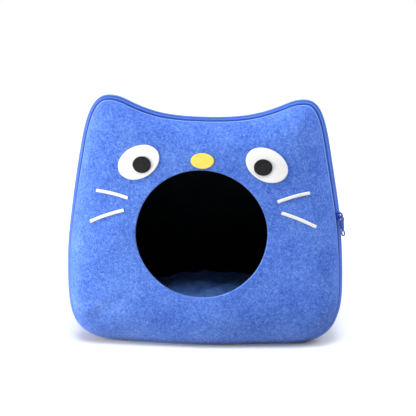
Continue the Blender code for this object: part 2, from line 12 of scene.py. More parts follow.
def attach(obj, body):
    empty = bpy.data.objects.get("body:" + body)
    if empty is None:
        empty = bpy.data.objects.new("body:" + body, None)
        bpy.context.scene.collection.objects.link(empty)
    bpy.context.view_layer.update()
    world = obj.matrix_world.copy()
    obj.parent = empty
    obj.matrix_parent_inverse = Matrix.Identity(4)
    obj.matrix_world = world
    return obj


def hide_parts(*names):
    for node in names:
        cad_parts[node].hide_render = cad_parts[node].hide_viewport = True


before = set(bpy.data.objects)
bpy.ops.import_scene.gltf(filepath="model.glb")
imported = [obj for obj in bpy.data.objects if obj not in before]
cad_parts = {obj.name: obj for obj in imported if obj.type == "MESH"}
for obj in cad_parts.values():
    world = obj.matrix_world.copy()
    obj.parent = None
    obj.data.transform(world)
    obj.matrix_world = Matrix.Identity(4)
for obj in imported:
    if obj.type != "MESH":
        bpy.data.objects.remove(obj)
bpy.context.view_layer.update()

# ---- sizes, from the solids
# The whiskers are a little thinner here, and a few clearances a little smaller.

HEIGHT = 0.3787
FELT = 0.0043
GAP = 0.0003
SIDE_Y = -0.118
BACK_Y = 0.126
LIP_RADIUS = 0.006
REAR_LIP_RADIUS = 0.014
REAR_TILT = math.radians(32)
BASE_BOW = 0.0135
BASE_BOW_HALF_WIDTH = 0.125
CORNER_BACK = 0.006
CORNER_HEIGHT = 0.080
ENTRANCE_AXES = (0.0972, 0.0952)
ENTRANCE_X = -0.0011
ENTRANCE_Z = 0.179
ENTRANCE_Y = -0.163
BACK_CENTRE_Z = 0.185
BACK_CENTRE_Y = 0.165
SHOULDER = 0.020
REAR_SHOULDER = 0.018
REAR_SHOULDER_WIDTH = 0.042

# Nodes of half the outline, from the middle of the base to the middle of the crown
OUTLINE_COLUMNS = ("x", "z", "heading", "back", "ahead", "steps", "tilt")
OUTLINE = {
    "base_middle": (0.0000, 0.0000, 0.0, 0.038, 0.038, 5, 38),
    "base_end": (0.1140, 0.0000, 0.0, 0.038, 0.077, 11, 38),
    "widest": (0.2103, 0.1000, 90.0, 0.0777, 0.075, 8, 27),
    "ear_foot": (0.1865, 0.3050, 100.2, 0.070, 0.045, 9, 37),
    "ear_tip": (0.1450, 0.3785, 180.0, 0.024, 0.018, 4, 36),
    "ear_slope": (0.1000, 0.3642, 201.1, 0.022, 0.028, 6, 32),
    "crown_middle": (0.0000, 0.3492, 180.0, 0.050, 0.050, 0, 29),
}
FINER = 3  # steps for each of the solids' steps

SLOT = 0.0110
SLOT_CLOSED_Z = 0.018
SLOT_OPEN_Z = 0.040
TAPE = 0.0010
TAPE_UNDER_FELT = 0.006
TAPE_CLEARANCE = 0.0004
COIL_WIDTH = 0.0060
COIL_HEIGHT = 0.0024
COIL_DEPTH = 0.0002
COIL_PLACE = 0.39
SLIDER_Z = 0.203

REAR_DROP = 0.086
REAR_NARROWING = 0.045
CROWN_SAG = 0.006
SIDE_SWELL = 0.012
LEAN_FOOT = -0.0013
LEAN_SIDES = 0.0015
LEAN_EARS = 0.0038
FOOT_FADE = (0.03, 0.08)
SIDES_FADE = (0.14, 0.22)
TILT = -0.026

FACE_FELT = 0.0020
PUPIL_FELT = 0.0016
WHISKER_FELT = 0.0016
FACE_LIFT = 0.00035
EYE_X, EYE_Z = 0.0931, 0.2839
EYE_AXES = (0.0321, 0.0232)
EYE_TILT = 28.0
PUPIL_X, PUPIL_Z = 0.0879, 0.2808
PUPIL_AXES = (0.0134, 0.0121)
NOSE_Z = 0.2880
NOSE_AXES = (0.0169, 0.0112)
WHISKER_WIDTH = 0.0047
WHISKER_BOW = 0.0014
WHISKERS = {  # x and z of the inner end, and of the outer end
    "left_upper": (-0.1096, 0.2313, -0.1565, 0.2408),
    "left_lower": (-0.1157, 0.2132, -0.1663, 0.1946),
    "right_upper": (0.1094, 0.2303, 0.1557, 0.2438),
    "right_lower": (0.1153, 0.2142, 0.1660, 0.1935),
}

CUSHION_HALF_WIDTH = 0.173
CUSHION_HALF_DEPTH = 0.121
CUSHION_SEAM_Z = 0.026
CUSHION_CROWN = 0.050

# ---- mesh helpers


def finish_mesh(shape, mesh):
    bmesh.ops.recalc_face_normals(shape, faces=shape.faces)
    shape.to_mesh(mesh)
    shape.free()
    return mesh


def running_sum(steps):
    return np.concatenate([[0], np.cumsum(steps)])


def loft(name, sections, closed, attributes=None, shaded_span=(0, 0)):
    """A mesh through a row of like loops of points, joined end to end where closed, else capped.
    The UV map gives metres along the row and metres across it. attributes are one number a point.
    The faces across from shaded_span[0] up to shaded_span[1] take the mesh's second material, which the
    shells use for the painted shade of their inside."""
    rows, across = sections.shape[:2]
    shape = bmesh.new()
    uv = shape.loops.layers.uv.new("metres")
    layers = {key: shape.verts.layers.float.new(key) for key in attributes or {}}
    points = [[shape.verts.new(point) for point in section] for section in sections]
    for key, values in (attributes or {}).items():
        for line, numbers in zip(points, np.broadcast_to(values, (rows, across))):
            for point, number in zip(line, numbers):
                point[layers[key]] = float(number)
    middle = sections.mean(1)
    steps = np.linalg.norm(np.roll(middle, -1, 0) - middle, axis=1)
    u = running_sum(steps)
    sides = np.linalg.norm(np.roll(sections, -1, 1) - sections, axis=2).mean(0)
    v = running_sum(sides)
    for row in range(rows if closed else rows - 1):
        here, following = points[row], points[(row + 1) % rows]
        for i in range(across):
            j = (i + 1) % across
            face = shape.faces.new((here[i], here[j], following[j], following[i]))
            face.material_index = int(shaded_span[0] <= i < shaded_span[1])
            corners = ((u[row], v[i]), (u[row], v[i + 1]), (u[row + 1], v[i + 1]), (u[row + 1], v[i]))
            for corner, place_uv in zip(face.loops, corners):
                corner[uv].uv = place_uv
    if not closed:
        shape.faces.new(points[0])
        shape.faces.new(reversed(points[-1]))
    bmesh.ops.remove_doubles(shape, verts=shape.verts, dist=1e-6)
    return finish_mesh(shape, bpy.data.meshes.new(name))


def link(name, data):
    made = bpy.data.objects.new(name, data)
    bpy.context.scene.collection.objects.link(made)
    return made


def add_piece(mesh, material, replaced=(), sharp=50, inside_shade=None):
    made = link(mesh.name, mesh)
    mesh.materials.append(material)
    # The second material darkens the felt's inside to near black: painted shade
    if inside_shade:
        mesh.materials.append(inside_shade)
    mesh.shade_smooth()
    mesh.set_sharp_from_angle(angle=math.radians(sharp))
    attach(made, "root")
    if replaced:
        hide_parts(*replaced)
    return made


def unit(vectors):
    return vectors / np.linalg.norm(vectors, axis=-1, keepdims=True)


def arc_length(path):
    """How far along a path each of its points lies."""
    return running_sum(np.linalg.norm(np.diff(path, axis=0), axis=1))


def sample(values, places, at):
    """Rows of values that are known at these places, read off at others."""
    return np.stack([np.interp(at, places, values[:, i]) for i in range(values.shape[1])], axis=-1)


def circles(sides, first, second):
    """A ring of points for each row of two vectors, turning from the first to the second."""
    turn = np.arange(sides) * math.tau / sides
    return np.cos(turn)[:, None] * first[:, None] + np.sin(turn)[:, None] * second[:, None]


def tube_sections(path, radii, sides, closed=False, normal=None, broad=1.0):
    """The loops of a wire along a path that lies in one plane, this many times as broad across it."""
    path = np.array(path, float)
    if closed:
        along = unit(np.roll(path, -1, 0) - np.roll(path, 1, 0))
    else:
        along = unit(np.gradient(path, axis=0))
    if normal is None:
        normal = unit(np.cross(along[0], along[len(path) // 3]))
    side = np.cross(along, normal)
    ring = circles(sides, side, np.broadcast_to(broad * normal, side.shape))
    return path[:, None, :] + np.reshape(radii, (-1, 1, 1)) * ring


def merged(name, tubes):
    """One mesh of many like short tubes, each a row of like loops, capped at its ends."""
    count, rows, sides = tubes.shape[:3]
    faces = []
    for tube in range(count):
        base = tube * rows * sides
        for a in range(base, base + (rows - 1) * sides, sides):
            b = a + sides
            faces += [(a + i, a + (i + 1) % sides, b + (i + 1) % sides, b + i) for i in range(sides)]
        faces.append(tuple(reversed(range(base, base + sides))))
        faces.append(tuple(range(base + (rows - 1) * sides, base + rows * sides)))
    mesh = bpy.data.meshes.new(name)
    mesh.from_pydata(tubes.reshape(-1, 3).tolist(), [], faces)
    shape = bmesh.new()
    shape.from_mesh(mesh)
    return finish_mesh(shape, mesh)


def smooth_step(value, low, high):
    t = np.clip((value - low) / (high - low), 0, 1)
    return t * t * (3 - 2 * t)


def ripple(points, wavelength, seed, waves=14):
    """A smooth uneven field about zero, from -1 to 1 or so, over points in space."""
    rng = np.random.default_rng(seed)
    turn = unit(rng.normal(size=(waves, 3)))
    turn *= (math.tau / (wavelength * rng.uniform(0.7, 1.5, waves)))[:, None]
    phase = rng.uniform(0, math.tau, waves)
    return np.sin(np.asarray(points) @ turn.T + phase).sum(-1) / math.sqrt(waves)


def fillet(distance, radius):
    """How far a rounded edge drops at this distance from it."""
    near = np.clip(radius - distance, 0, radius)
    return radius - np.sqrt(radius**2 - near**2)


# ---- the body's form, as in the solids


def direction(degrees):
    return np.array([math.cos(math.radians(degrees)), math.sin(math.radians(degrees))])


def half_outline():
    """Rows of x, z, outward x, outward z and tilt, from the base's middle to the crown's."""
    rows = []
    nodes = [dict(zip(OUTLINE_COLUMNS, row)) for row in OUTLINE.values()]
    for here, ahead in zip(nodes, nodes[1:]):
        start = np.array([here["x"], here["z"]])
        end = np.array([ahead["x"], ahead["z"]])
        leave = start + here["ahead"] * direction(here["heading"])
        arrive = end - ahead["back"] * direction(ahead["heading"])
        steps = here["steps"] * FINER
        t = np.arange(steps + (ahead is nodes[-1]))[:, None] / steps
        point = (1 - t) ** 3 * start + 3 * t * (1 - t) ** 2 * leave
        point = point + 3 * t**2 * (1 - t) * arrive + t**3 * end
        travel = (1 - t) ** 2 * (leave - start) + 2 * t * (1 - t) * (arrive - leave)
        travel = unit(travel + t**2 * (end - arrive))
        tilt = np.radians(here["tilt"] + smooth_step(t, 0, 1) * (ahead["tilt"] - here["tilt"]))
        rows.append(np.hstack([point, travel[:, 1:], -travel[:, :1], tilt]))
    return np.concatenate(rows)


HALF_ROWS = half_outline()
OUTLINE_ROWS = np.concatenate([HALF_ROWS, HALF_ROWS[-2:0:-1] * (-1, 1, -1, 1, 1)])
SPOT = OUTLINE_ROWS[:, :2]
OUTWARD = OUTLINE_ROWS[:, 2:4]
TILTS = OUTLINE_ROWS[:, 4]


def base_bow(x):
    """How far the front's foot stands forward here, as a share of what it does in the middle."""
    return np.clip(1 - (x / BASE_BOW_HALF_WIDTH) ** 2, 0, 1) ** 1.5


LOW = 1 - smooth_step(SPOT[:, 1], 0, CORNER_HEIGHT)
LIP_START = SIDE_Y + LOW * (CORNER_BACK - BASE_BOW * base_bow(SPOT[:, 0]))
EDGE_Y = LIP_START - LIP_RADIUS * np.sin(TILTS)
SLOTS = GAP + (SLOT - GAP) * smooth_step(SPOT[:, 1], SLOT_CLOSED_Z, SLOT_OPEN_Z)
COIL_LINE = COIL_PLACE * SLOTS


def place(out, back):
    """Points at these distances outward from the outline and at these y, for every outline row."""
    ground = SPOT + np.reshape(out, (-1, 1)) * OUTWARD
    back = np.broadcast_to(back, len(SPOT))
    return np.column_stack([ground[:, 0], back, ground[:, 1]])


def front_edge(across=0.0, depth=0.0):
    """Points beside the front edge of the gusset: across is towards the front panel, over the slot,
    and depth is inward from the outer surface."""
    out = -LIP_RADIUS * (1 - np.cos(TILTS)) - across * np.sin(TILTS) - depth * np.cos(TILTS)
    back = EDGE_Y - across * np.cos(TILTS) + depth * np.sin(TILTS)
    return place(out, back)


def front_lip(share, depth):
    """Points on the gusset's front lip: share 1 is its edge and 0 is where the lip starts."""
    turn = TILTS * share
    radius = LIP_RADIUS - depth
    return place(radius * np.cos(turn) - LIP_RADIUS, LIP_START - radius * np.sin(turn))


def rear_lip(share, depth):
    turn = REAR_TILT * share
    radius = REAR_LIP_RADIUS - depth
    return place(radius * math.cos(turn) - REAR_LIP_RADIUS, BACK_Y + radius * math.sin(turn))


def settle(points):
    """The soft body's settled form. The floor stays flat."""
    x, y, z = np.moveaxis(np.array(points, float), -1, 0)
    rise = z / HEIGHT
    rearward = np.clip((y - SIDE_Y) / (BACK_Y - SIDE_Y), 0, 1.2)
    middle = np.sin(math.pi * np.clip(rearward, 0, 1))
    x = x * (1 - REAR_NARROWING * rearward + SIDE_SWELL * middle)
    z = z * (1 - REAR_DROP * rearward) - CROWN_SAG * middle * rise**3
    lean = LEAN_FOOT * (1 - smooth_step(z, *FOOT_FADE)) + LEAN_SIDES * smooth_step(z, *SIDES_FADE)
    lean = lean + LEAN_EARS * np.clip(rise, 0, 1.1) ** 8
    z = z + TILT * x * rise
    return np.stack([x + lean, y, z], axis=-1)


PANEL_DENT = 0.0007
FINE_DENT = 0.00012
DENT_FADE = (0.004, 0.040)


class Panel:
    """A domed panel over the outline, with a steep shoulder next to its rim and a gentle dome."""

    def __init__(self, rim, centre, opening, middle_y, shoulder, shoulder_widths, power, seed):
        self.rim = rim
        self.centre = np.array(centre)
        self.opening = opening
        self.middle_y = middle_y
        self.shoulder = shoulder
        self.power = power
        self.seed = seed
        flat = rim[:, [0, 2]] - self.centre
        self.turns = np.arctan2(flat[:, 1], flat[:, 0])
        self.reach = np.hypot(flat[:, 0], flat[:, 1])
        self.widths = np.broadcast_to(shoulder_widths, len(rim))

    def opening_reach(self, turn):
        across, up = np.maximum(self.opening, 1e-9)
        return 1 / np.hypot(np.cos(turn) / across, np.sin(turn) / up)

    def along_rim(self, values, turn):
        return np.interp(turn, self.turns, values, period=math.tau)

    def distance_to_rim(self, x, z):
        start = self.rim[:, [0, 2]]
        side = np.roll(start, -1, 0) - start
        offset = np.stack([x, z], axis=-1)[..., None, :] - start
        share = np.clip((offset * side).sum(-1) / (side**2).sum(-1), 0, 1)
        return np.linalg.norm(offset - share[..., None] * side, axis=-1).min(-1)

    def y_at(self, x, z):
        x, z = np.asarray(x, float), np.asarray(z, float)
        turn = np.arctan2(z - self.centre[1], x - self.centre[0])
        reach = self.along_rim(self.reach, turn)
        rim_y = self.along_rim(self.rim[:, 1], turn)
        width = self.along_rim(self.widths, turn)
        radius = np.hypot(x - self.centre[0], z - self.centre[1])
        inward = (reach - radius) / (reach - self.opening_reach(turn))
        edge = self.distance_to_rim(x, z)
        steep = 1 - (1 - np.clip(edge / width, 0, 1)) ** 3
        dome = self.middle_y - rim_y - self.shoulder
        y = rim_y + self.shoulder * steep + dome * (1 - (1 - np.clip(inward, 0, 1)) ** self.power)
        spots = np.stack([x, 0 * x, z], axis=-1)
        dents = PANEL_DENT * ripple(spots, 0.085, self.seed) + FINE_DENT * ripple(spots, 0.030, self.seed + 1)
        return y + dents * smooth_step(edge, *DENT_FADE)

    def outer_points(self, rings):
        """Rows along the rim by rings from the rim to the middle."""
        heading = unit(self.rim[:, [0, 2]] - self.centre)
        inner = self.opening_reach(self.turns)
        radius = self.reach[:, None] + np.array(rings) * (inner - self.reach)[:, None]
        x = heading[:, None, 0] * radius + self.centre[0]
        z = heading[:, None, 1] * radius + self.centre[1]
        points = np.stack([x, self.y_at(x, z), z], axis=-1)
        points[:, 0, 1] = self.rim[:, 1]
        return points


def panel_normals(points, sign, ring):
    """Unit normals of a grid that closes on itself along its first direction, on the side that has
    this sign of y at this ring."""
    around = np.roll(points, -1, 0) - np.roll(points, 1, 0)
    normal = np.cross(np.gradient(points, axis=1), around)
    normal /= np.maximum(np.linalg.norm(normal, axis=-1, keepdims=True), 1e-12)
    return normal * sign * np.sign(normal[:, [ring], 1:2])


def front_panel_form():
    rim = front_edge(across=SLOTS)
    reach = np.hypot(rim[:, 0] - ENTRANCE_X, rim[:, 2] - ENTRANCE_Z) - ENTRANCE_AXES[0]
    dome = ENTRANCE_Y - rim[:, 1] + SHOULDER
    widths = 3 * SHOULDER / (1 / np.tan(TILTS) - 2 * np.abs(dome) / reach)
    centre = (ENTRANCE_X, ENTRANCE_Z)
    return Panel(rim, centre, ENTRANCE_AXES, ENTRANCE_Y, -SHOULDER, widths, 2.0, 11)


def back_panel_form():
    out = -REAR_LIP_RADIUS * (1 - math.cos(REAR_TILT)) - GAP * math.sin(REAR_TILT)
    back = BACK_Y + REAR_LIP_RADIUS * math.sin(REAR_TILT) + GAP * math.cos(REAR_TILT)
    centre, closed = (0, BACK_CENTRE_Z), (0, 0)
    return Panel(place(out, back), centre, closed, BACK_CENTRE_Y, REAR_SHOULDER, REAR_SHOULDER_WIDTH, 2.6, 31)


FRONT = front_panel_form()
BACK = back_panel_form()

# ---- materials


class Nodes:
    """Short calls for the nodes of a material or a world."""

    def __init__(self, tree):
        self.tree = tree

    def fill(self, node, inputs):
        """Sets or links inputs, named with _ for their spaces, or i_ and their number."""
        for key, value in inputs.items():
            socket = node.inputs[int(key[2:]) if key.startswith("i_") else key.replace("_", " ")]
            if isinstance(value, bpy.types.NodeSocket):
                self.tree.links.new(value, socket)
            else:
                socket.default_value = value

    def add(self, kind, settings=None, **inputs):
        made = self.tree.nodes.new("ShaderNode" + kind)
        for key, value in (settings or {}).items():
            setattr(made, key, value)
        self.fill(made, inputs)
        return made

    def noise(self, coords, scale, detail=2.0, roughness=0.5, distortion=0.0):
        inputs = {"Scale": scale, "Detail": detail, "Roughness": roughness, "Distortion": distortion}
        return self.add("TexNoise", Vector=coords, **inputs).outputs["Fac"]

    def math(self, operation, a, b):
        return self.add("Math", {"operation": operation}, i_0=a, i_1=b).outputs[0]

    def blend(self, a, b, share_a):
        """Two heights or tones, added with this share of a and the rest of b."""
        return self.math("ADD", self.math("MULTIPLY", a, share_a), self.math("MULTIPLY", b, 1 - share_a))

    def ramp(self, value, places, shades):
        node = self.add("ValToRGB", Fac=value)
        ramp = node.color_ramp
        while len(ramp.elements) < len(shades):
            ramp.elements.new(0.5)
        for element, position, shade in zip(ramp.elements, places, shades):
            element.position = position
            element.color = (*shade, 1)
        return node.outputs["Color"]

    def mix(self, factor, colour, shade):
        return self.add("Mix", {"data_type": "RGBA"}, i_0=factor, i_6=colour, i_7=(*shade, 1)).outputs[2]


class Shader(Nodes):
    """A material, with what the finishes share. Its Principled node takes the inputs."""

    def __init__(self, name, **inputs):
        self.material = bpy.data.materials.new(name)
        self.material.use_nodes = True
        super().__init__(self.material.node_tree)
        self.surface = self.tree.nodes["Principled BSDF"]
        self.fill(self.surface, inputs)
        self.coords = self.add("TexCoord").outputs["Object"]

    def finish(self, colour, height, distance, strength):
        """The material with this colour and this relief."""
        bump = self.add("Bump", Height=height, Distance=distance, Strength=strength)
        self.fill(self.surface, {"Base Color": colour, "Normal": bump.outputs["Normal"]})
        return self.material


# Noise in the felt: scale, detail, roughness, distortion, and its share in the tone
FELT_NOISE = {
    "clumps": (260, 3, 0.62, 0.8, 0.34),
    "fibres": (150, 5, 0.72, 5.0, 0.36),
    "grain": (800, 2, 0.6, 0.0, 0.14),
    "broad": (22, 2, 0.5, 0.0, 0.16),
}
FELT_SPREAD = 0.10
FIBRE_LINES = ((70, 6.0), (95, 9.0))  # scale and distortion of the noise that they run along
FIBRE_BREADTH = 0.016
FIBRE_STRENGTH = 0.9
RIM_TONE_AND_HIGHLIGHT_STRENGTH = 0.8


def felt(name, shades, rim_tone_and_highlight=None, fibre_shade=None, contrast=1.0, sheen=0.12):
    """Needled felt: a mottling in these shades, from dark to light, with paler fibres lying in it."""
    made = Shader(name, Roughness=0.96, Specular_IOR_Level=0.15, Sheen_Weight=sheen, Sheen_Roughness=0.45)
    layers = {key: made.noise(made.coords, *row[:4]) for key, row in FELT_NOISE.items()}
    value = 0.5
    for key, layer in layers.items():
        scaled = made.math("MULTIPLY", made.math("SUBTRACT", layer, 0.5), FELT_NOISE[key][4] * contrast)
        value = made.math("ADD", scaled, value)
    places = np.linspace(0.5 - FELT_SPREAD, 0.5 + FELT_SPREAD, len(shades))
    colour = made.ramp(value, places, shades)
    if fibre_shade:
        for scale, distortion in FIBRE_LINES:
            wander = made.noise(made.coords, scale, 1.5, 0.5, distortion)
            off_line = made.math("ABSOLUTE", made.math("SUBTRACT", wander, 0.5), 0.0)
            line = made.math("LESS_THAN", off_line, FIBRE_BREADTH)
            patchy = made.math("MULTIPLY", line, made.math("MULTIPLY", layers["clumps"], FIBRE_STRENGTH))
            colour = made.mix(patchy, colour, fibre_shade)
    # Along its edges the felt turns paler: partly the cut felt's own tone, partly a painted highlight where
    # the edge turns to the light
    if rim_tone_and_highlight:
        rim = made.add("Attribute", {"attribute_name": "rim"}).outputs["Fac"]
        colour = made.mix(made.math("MULTIPLY", rim, RIM_TONE_AND_HIGHLIGHT_STRENGTH), colour, rim_tone_and_highlight)
    return made.finish(colour, made.blend(layers["fibres"], layers["grain"], 0.6), 0.0011, 0.8)


def woven(name, shades, pitch):
    """A plain weave, its threads laid out by the UV map in metres."""
    made = Shader(name, Roughness=0.8, Sheen_Weight=0.2)
    uv = made.add("UVMap", {"uv_map": "metres"}).outputs["UV"]
    scaled = made.add("Mapping", Vector=uv, Scale=(1 / pitch, 1 / pitch, 1)).outputs[0]
    checks = made.add("TexChecker", Vector=scaled, Scale=1.0).outputs["Fac"]
    bars = made.add("TexWave", {"bands_direction": "X"}, Vector=scaled, Scale=0.5).outputs["Fac"]
    height = made.blend(checks, bars, 0.5)
    tone = made.blend(height, made.noise(made.coords, 900), 0.5)
    return made.finish(made.ramp(tone, (0.2, 0.8), shades), height, 0.0003, 0.7)


def brushed_cloth(name, shades):
    """The cushion's soft cloth: short pile with broad worn patches and a fine knit."""
    made = Shader(name, Roughness=0.9, Sheen_Weight=0.08, Sheen_Roughness=0.5, Specular_IOR_Level=0.2)
    pile = made.noise(made.coords, 420, 3, 0.6)
    patches = made.noise(made.coords, 45, 3, 0.55, 1.0)
    knit = made.noise(made.coords, 1300, 1)
    colour = made.ramp(made.blend(pile, patches, 0.45), (0.34, 0.5, 0.66), shades)
    return made.finish(colour, made.blend(pile, knit, 0.7), 0.0006, 0.7)


def plain(name, colour, roughness, grain=400, coat=0.0):
    """Moulded or lacquered material with a faint unevenness in tone and surface."""
    made = Shader(name, Roughness=roughness, Coat_Weight=coat)
    uneven = made.noise(made.coords, grain, 3)
    tones = [tuple(min(share * part, 1) for part in colour) for share in (0.88, 1.12)]
    return made.finish(made.ramp(uneven, (0.35, 0.65), tones), uneven, 0.0001, 0.5)


BODY_SHADES = ((0.011, 0.058, 0.378), (0.032, 0.100, 0.472), (0.060, 0.150, 0.557), (0.130, 0.245, 0.643))
# The paler tone along the felt's edges: partly the cut felt's own tone, partly a painted highlight
RIM_TONE_AND_HIGHLIGHT = (0.190, 0.310, 0.740)
FIBRE_SHADE = (0.230, 0.370, 0.790)
# Felt for the inside, darkened to near black as painted shade
INSIDE_SHADE_TONES = ((0.009, 0.012, 0.017), (0.016, 0.021, 0.030), (0.030, 0.038, 0.052))
WHITE_SHADES = ((0.63, 0.64, 0.65), (0.69, 0.70, 0.71), (0.73, 0.735, 0.74))
BLACK_SHADES = ((0.006, 0.006, 0.008), (0.012, 0.012, 0.015), (0.022, 0.022, 0.027))
YELLOW_SHADES = ((0.70, 0.515, 0.080), (0.76, 0.580, 0.105), (0.80, 0.640, 0.150))
TAPE_SHADES = ((0.065, 0.185, 0.660), (0.125, 0.290, 0.800))
CUSHION_SHADES = ((0.058, 0.155, 0.540), (0.100, 0.245, 0.740), (0.160, 0.345, 0.860))
BODY_FELT = felt("body felt", BODY_SHADES, RIM_TONE_AND_HIGHLIGHT, FIBRE_SHADE)
INSIDE_SHADE_FELT = felt("inside shade felt", INSIDE_SHADE_TONES, sheen=0.05)
WHITE_FELT = felt("white felt", WHITE_SHADES, contrast=0.8, sheen=0.1)
BLACK_FELT = felt("black felt", BLACK_SHADES, sheen=0.15)
YELLOW_FELT = felt("yellow felt", YELLOW_SHADES, contrast=0.8, sheen=0.1)
TAPE_CLOTH = woven("zip tape", TAPE_SHADES, 0.0008)
COIL_NYLON = plain("zip coil", (0.045, 0.150, 0.600), 0.42)
THREAD = plain("sewing thread", (0.045, 0.130, 0.560), 0.7, grain=2500)
ZIP_METAL = plain("lacquered zip metal", (0.005, 0.060, 0.360), 0.4, coat=0.1)
CUSHION_CLOTH = brushed_cloth("cushion cloth", CUSHION_SHADES)

# ---- felt body

EDGE_ROUNDING = 0.0013
EDGE_RINGS = 6  # how many rings of the inner side lie at its edge and aren't darkened as painted shade
RIM_TONE_AND_HIGHLIGHT_FADE = (0.0020, 0.0038)
HOLE_RIM_TONE_AND_HIGHLIGHT = 0.3  # how much of the rim's paler tone and painted highlight the entrance's edge has
HOLE_RIM_TONE_AND_HIGHLIGHT_FADE = (0.0004, 0.0012)
GUSSET_DENT = 0.0011
GUSSET_DENT_OFFSET = 1.2  # so that most of its dents go inward
GUSSET_LIP = (1.0, 0.97, 0.93, 0.86, 0.76, 0.62, 0.45, 0.25)
GUSSET_REAR_LIP = (0.12, 0.25, 0.4, 0.55, 0.7, 0.82, 0.90, 0.95, 0.98, 1.0)


def shell(name, node, outer, normal, distances, closed_at_middle=False, shaded_to_last=False):
    """A felt layer under a grid of outer points, its cut edges rounded, with a paler band along its edges
    that is partly a painted highlight. Its inner side is darkened as painted shade, but not next to the first
    ring, nor next to the last one unless shaded_to_last."""
    drop = fillet(distances["first"], EDGE_ROUNDING)
    if not closed_at_middle:
        drop = drop + fillet(distances["last"], EDGE_ROUNDING)
    drop = drop[..., None]
    top = outer - drop * normal
    under = outer - (FELT - drop) * normal
    sections = np.concatenate([top, under[:, ::-1]], axis=1)
    # A paler band along the edges, partly the cut felt's tone and partly a painted highlight
    rim = 1 - smooth_step(distances["first"], *RIM_TONE_AND_HIGHLIGHT_FADE)
    if shaded_to_last and not closed_at_middle:
        rim = rim + HOLE_RIM_TONE_AND_HIGHLIGHT * (1 - smooth_step(distances["last"], *HOLE_RIM_TONE_AND_HIGHLIGHT_FADE))
    rim = np.concatenate([rim, rim[:, ::-1]], axis=1)
    count = outer.shape[1]
    # The faces of the inner side that take the painted shade
    shaded_span = (count if shaded_to_last else count + EDGE_RINGS, 2 * count - EDGE_RINGS)
    mesh = loft(name, settle(sections), True, {"rim": rim}, shaded_span)
    return add_piece(mesh, BODY_FELT, [node], inside_shade=INSIDE_SHADE_FELT)


def ring_distances(points):
    """Each point's distance along its ring line from the first and from the last ring."""
    steps = np.linalg.norm(np.diff(points, axis=1), axis=-1)
    first = np.concatenate([np.zeros((len(points), 1)), np.cumsum(steps, axis=1)], axis=1)
    return {"first": first, "last": first[:, -1:] - first}


def rings(count, rounded_end):
    """Shares from 0 to 1, close together where an edge is rounded."""
    near = np.array([0, 0.0025, 0.006, 0.011, 0.018, 0.028])
    middle = np.linspace(0.04, 0.96, count)
    far = 1 - near[::-1] if rounded_end else np.array([1.0])
    return np.concatenate([near, middle, far])


def front_panel():
    outer = FRONT.outer_points(rings(40, True))
    normal = panel_normals(outer, -1, -1)
    normal[:, 0] = unit(front_edge(SLOTS) - front_edge(SLOTS, 1.0))
    return shell("felt_front", "front_panel", outer, normal, ring_distances(outer), shaded_to_last=True)


def gusset():
    def line(depth):
        made = [front_lip(share, depth) for share in GUSSET_LIP]
        made += [place(-depth, LIP_START + share * (BACK_Y - LIP_START)) for share in np.linspace(0, 1, 62)]
        made += [rear_lip(share, depth) for share in GUSSET_REAR_LIP]
        return np.stack(made, axis=1)

    outer = line(0.0)
    normal = (outer - line(0.001)) / 0.001
    distances = ring_distances(outer)
    edge = np.minimum(distances["first"], distances["last"])
    fade = smooth_step(edge, 0.006, 0.045) * smooth_step(outer[..., 2], 0.004, 0.060)
    dents = GUSSET_DENT * (ripple(outer, 0.110, 21) - GUSSET_DENT_OFFSET)
    dents = dents + FINE_DENT * ripple(outer, 0.030, 22)
    outer = outer + (fade * dents)[..., None] * normal
    return shell("felt_gusset", "gusset", outer, normal, distances)


def back_panel():
    outer = BACK.outer_points(rings(44, False))
    normal = panel_normals(outer, 1, 10)
    normal[:, -1] = (0, 1, 0)
    normal[:, 0] = place(math.cos(REAR_TILT), 0) - place(0, 0)
    normal[:, 0, 1] = math.sin(REAR_TILT)
    return shell("felt_back", "back_panel", outer, normal, ring_distances(outer), True, True)


# ---- zip

TAPE_BEND = 0.0012  # how far from the slot's edge the front tape bends
TAPE_BEND_RISE = 0.9
TAPE_SLACK = 0.0002
TAPE_PAST_LIP = LIP_START + TAPE_UNDER_FELT * 0.7
COIL_PITCH = 0.00145
COIL_WIRE = 0.00052
COIL_SIDES = 7
# A loop of the coil, from its head past the middle to its root and back under:
# millimetres out from the middle and down, and its thickness in radii of the wire
COIL_LOOP = (
    (-0.75, 0.35, 0.75),
    (-0.85, 0.05, 1.0),
    (-0.45, -0.02, 1.05),
    (1.0, 0.0, 1.0),
    (2.2, 0.15, 1.0),
    (2.42, 0.75, 1.0),
    (2.0, 1.3, 0.8),
)
CORD_BREADTH = 0.36  # half the cord's width as a share of the coil's
CORD_TOP = 0.0009
CORD_BEVEL = 0.0004


def slot_rows(least):
    return np.flatnonzero(SLOTS >= least)


